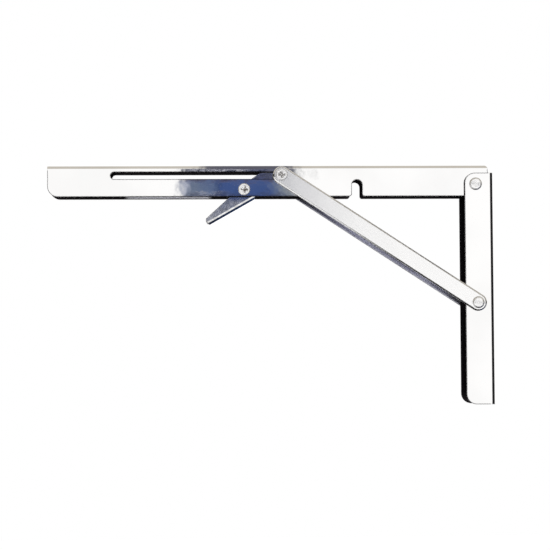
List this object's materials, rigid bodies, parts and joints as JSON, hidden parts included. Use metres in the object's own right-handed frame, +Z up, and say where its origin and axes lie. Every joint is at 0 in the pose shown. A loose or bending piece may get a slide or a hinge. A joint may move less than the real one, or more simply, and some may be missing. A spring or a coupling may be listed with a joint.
{
  "type": "folding shelf bracket",
  "caption": "Folding shelf bracket of polished stainless sheet: a channel arm hinged in a wall channel, propped by flat struts whose upper pin slides in a long slot and is held by a sprung release lever.",
  "frame": {"origin": "middle of the wall screw holes, on the back face of the wall arm", "axes": "+Z up; +X into the wall, so the shelf arm reaches towards -X; -Y is the side the bracket is seen from"},
  "size_m": [0.3, 0.0336, 0.1615],
  "materials": {
    "polished_steel": "mirror-polished stainless sheet",
    "rivet_steel": "bright turned stainless steel",
    "spring_steel": "drawn spring wire"
  },
  "bodies": {
    "wall_arm": {"wall_arm": "polished_steel", "hinge_rivet": "rivet_steel", "strut_sleeve": "rivet_steel"},
    "shelf_arm": {"shelf_arm": "polished_steel", "hinge_sleeve": "rivet_steel", "lever_rivet": "rivet_steel", "lever_sleeve": "rivet_steel", "lever_washer_front": "rivet_steel", "lever_washer_rear": "rivet_steel", "lever_spring": "spring_steel"},
    "strut": {"strut_bar_front": "polished_steel", "strut_bar_rear": "polished_steel", "strut_rivet": "rivet_steel", "slide_rivet_front": "rivet_steel", "slide_rivet_rear": "rivet_steel"},
    "slide_pin": {"slide_bush_front": "rivet_steel", "slide_bush_rear": "rivet_steel"},
    "release_lever": {"release_lever": "polished_steel"}
  },
  "joints": [
    {"name": "shelf_fold", "type": "hinge", "parent": "wall_arm", "child": "shelf_arm", "pos_m": [-0.012, 0, 0.078], "axis": [0, -1, 0], "range_deg": [0, 90]},
    {"name": "strut_swing", "type": "hinge", "parent": "wall_arm", "child": "strut", "pos_m": [-0.0112, 0, -0.002], "axis": [0, -1, 0], "range_deg": [0, 120.64]},
    {"name": "pin_slide", "type": "slide", "parent": "shelf_arm", "child": "slide_pin", "axis": [-1, 0, 0], "range_m": [0, 0.10633]},
    {"name": "lever_press", "type": "hinge", "parent": "shelf_arm", "child": "release_lever", "pos_m": [-0.16812, 0, 0.0748], "axis": [0, 1, 0], "range_deg": [0, 25], "stiffness_Nm_per_rad": 0.05, "springref_deg": -20.05, "deforming": ["lever_spring"]}
  ],
  "couplings": [
    {"joint": "strut_swing", "follows": "shelf_fold", "ratio": 1.3404},
    {"joint": "pin_slide", "follows": "shelf_fold", "m_per_rad": 0.06769}
  ]
}
